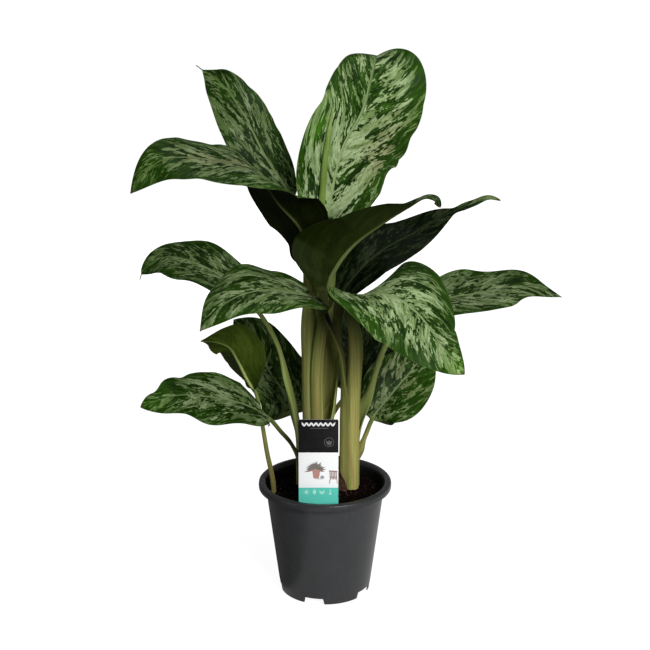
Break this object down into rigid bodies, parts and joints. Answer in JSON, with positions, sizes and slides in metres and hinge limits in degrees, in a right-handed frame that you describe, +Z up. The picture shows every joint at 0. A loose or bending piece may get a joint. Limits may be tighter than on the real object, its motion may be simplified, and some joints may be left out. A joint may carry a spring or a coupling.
{
  "type": "potted foliage plant",
  "caption": "Leafy evergreen houseplant: broad pointed leaves on upright stalks from two canes, in a round tapered nursery pot with potting soil and a plant label.",
  "frame": {"origin": "on the ground under the pot, at the centre of its round underside", "axes": "+Z up, -Y towards the front where the plant label stands, +X to the right as seen from the front"},
  "size_m": [0.5602, 0.3935, 0.6782],
  "materials": {
    "pot_plastic": "matte, finely grained dark grey",
    "potting_soil": "rough, moist dark reddish-brown peat and bark",
    "label_plastic": "smooth printed plastic card",
    "stem_green": "smooth, slightly waxy stem",
    "leaf_green": "satin waxy leaf, dark green with silvery green marbling",
    "young_leaf": "smooth waxy pale green",
    "dry_sheath": "dull, dry and fibrous"
  },
  "bodies": {
    "root": {"pot": "pot_plastic", "soil": "potting_soil", "plant_label": "label_plastic", "cane_main": "stem_green", "cane_right": "stem_green", "leaf_crown": "leaf_green", "leaf_upper_left": "leaf_green", "leaf_arching_left": "leaf_green", "leaf_upright_right": "leaf_green", "leaf_slender_right": "leaf_green", "leaf_front_right": "leaf_green", "leaf_far_right": "leaf_green", "leaf_far_left": "leaf_green", "leaf_front_left": "leaf_green", "leaf_low_left": "leaf_green", "leaf_side_shoot": "leaf_green", "leaf_back_left": "leaf_green", "leaf_low_right": "leaf_green", "leaf_back_low": "leaf_green", "leaf_back_high": "leaf_green", "new_leaf": "young_leaf", "dry_sheath_main": "dry_sheath", "dry_sheath_right": "dry_sheath"}
  },
  "joints": []
}
